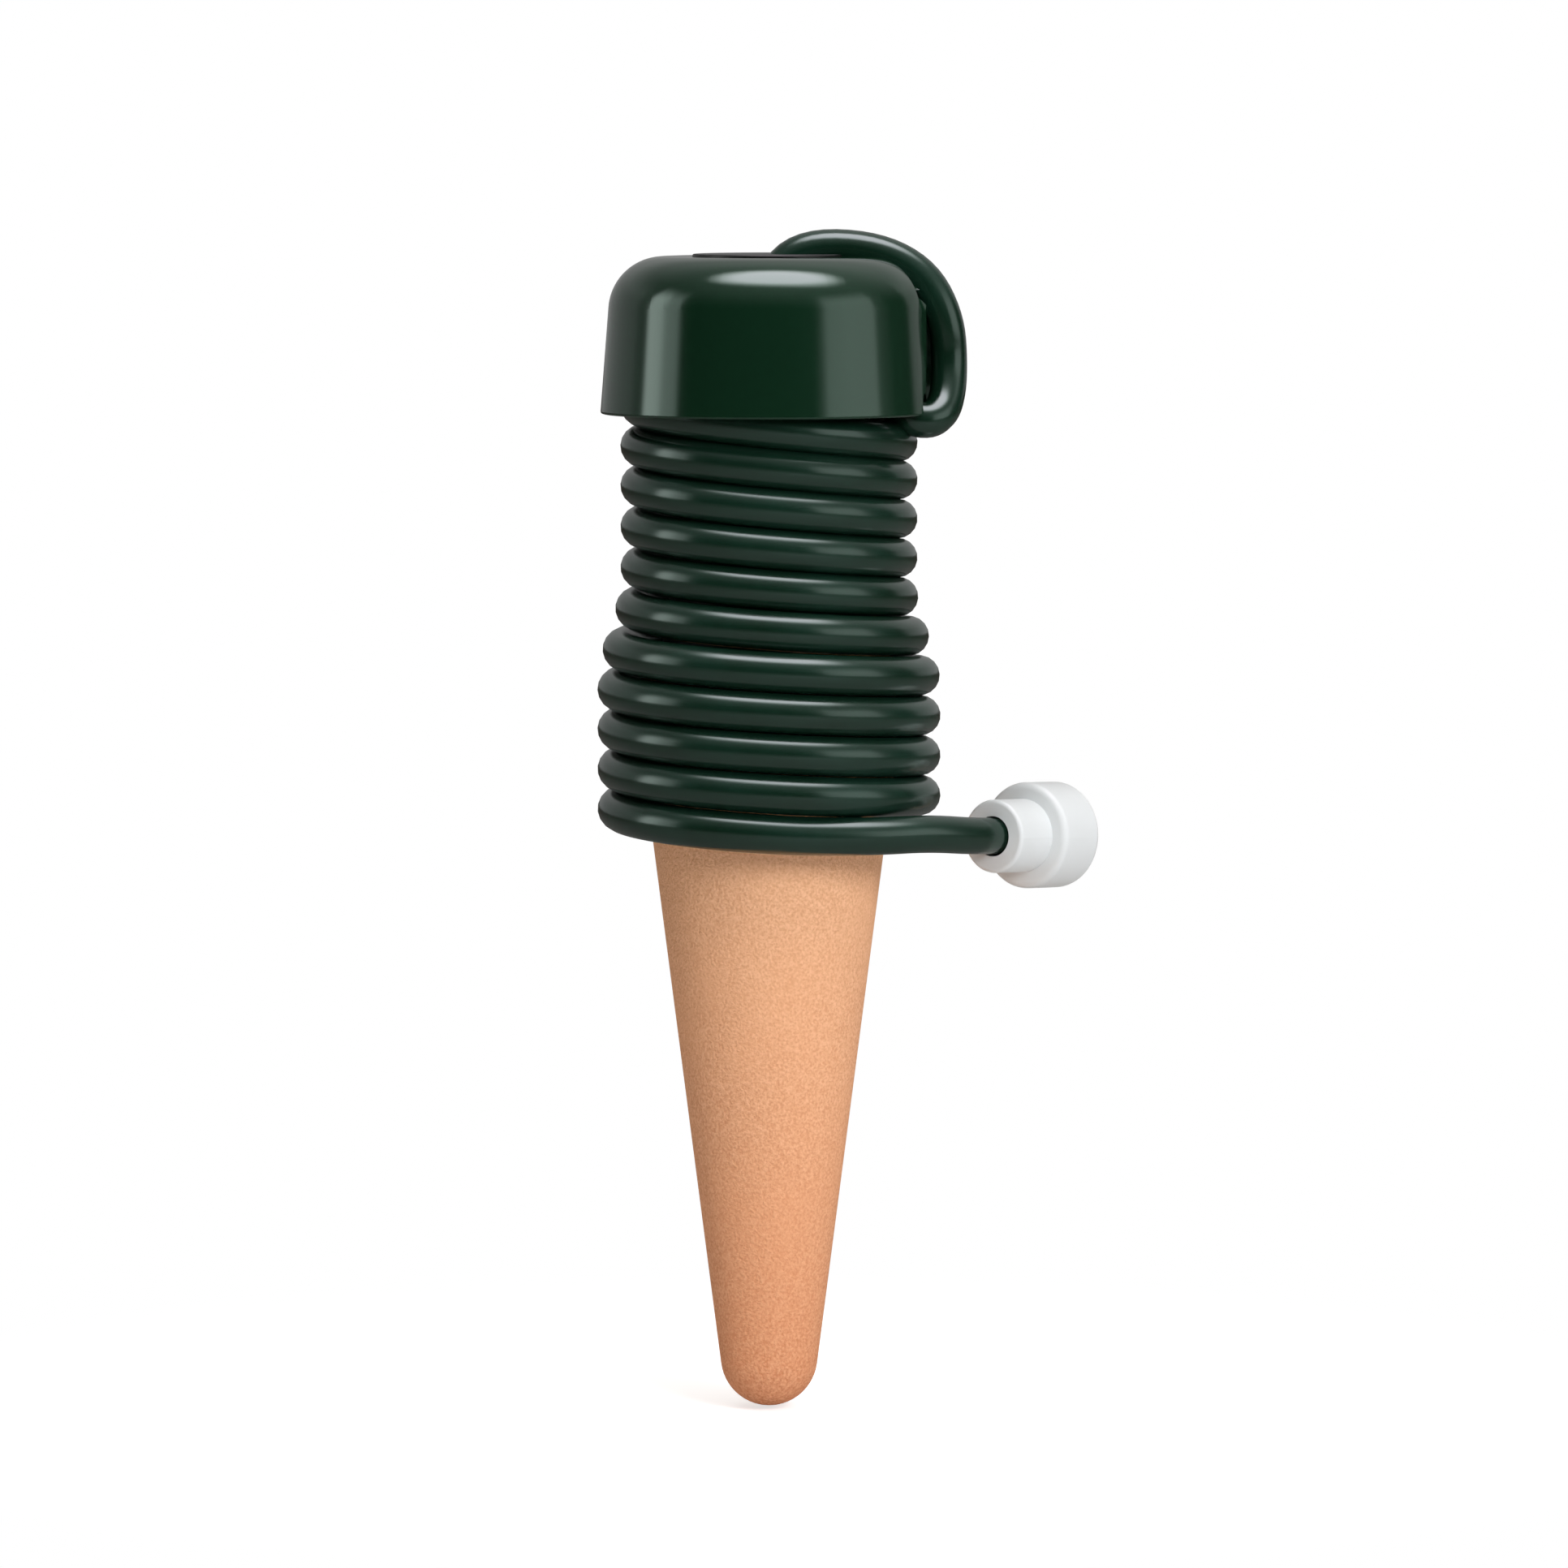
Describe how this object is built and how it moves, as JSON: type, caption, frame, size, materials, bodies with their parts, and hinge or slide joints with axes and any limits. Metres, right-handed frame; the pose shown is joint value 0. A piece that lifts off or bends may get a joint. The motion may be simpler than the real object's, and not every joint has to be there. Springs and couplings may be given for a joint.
{
  "type": "self watering spike",
  "caption": "Hollow porous terracotta spike with a screw cap, a long thin hose wound round its neck and cone, and a white strainer head on the hose's end, for watering a pot plant.",
  "frame": {"origin": "the cone's tip, on the spike's axis", "axes": "+Z from the tip up through the cap, +X towards the side where the hose comes down from the cap, -Y is the front"},
  "size_m": [0.0606, 0.041, 0.1433],
  "materials": {
    "terracotta": "fired, unglazed, fine sandy grain",
    "adhesive": "cured resin, matt",
    "neck_plastic": "moulded, satin",
    "seal_rubber": "matt",
    "cap_plastic": "moulded, high gloss",
    "bung_rubber": "moulded, semi-gloss",
    "hose_vinyl": "extruded soft vinyl, satin",
    "head_plastic": "moulded, satin",
    "foam": "open cell foam"
  },
  "bodies": {
    "spike": {"ceramic_cone": "terracotta", "bond_ring": "adhesive", "neck_collar": "neck_plastic"},
    "seal": {"cap_seal": "seal_rubber"},
    "cap": {"cap_shell": "cap_plastic", "hose_bung": "bung_rubber", "hose_loop": "hose_vinyl", "hose_winding": "hose_vinyl", "hose_tail": "hose_vinyl"},
    "filter": {"filter_body": "head_plastic", "filter_foam": "foam", "filter_grid": "head_plastic"}
  },
  "joints": [
    {"name": "cap_rise", "type": "slide", "parent": "spike", "child": "seal", "axis": [0, 0, 1], "range_m": [0, 0.0075]},
    {"name": "cap_turn", "type": "hinge", "parent": "seal", "child": "cap", "pos_m": [0, 0, 0.136], "axis": [0, 0, 1], "range_deg": [0, 900]},
    {"name": "filter_pull", "type": "slide", "parent": "cap", "child": "filter", "axis": [0.6179, 0.7847, -0.0494], "range_m": [0, 0.0055]}
  ],
  "couplings": [
    {"joint": "cap_rise", "follows": "cap_turn", "m_per_rad": 0.00047746}
  ]
}
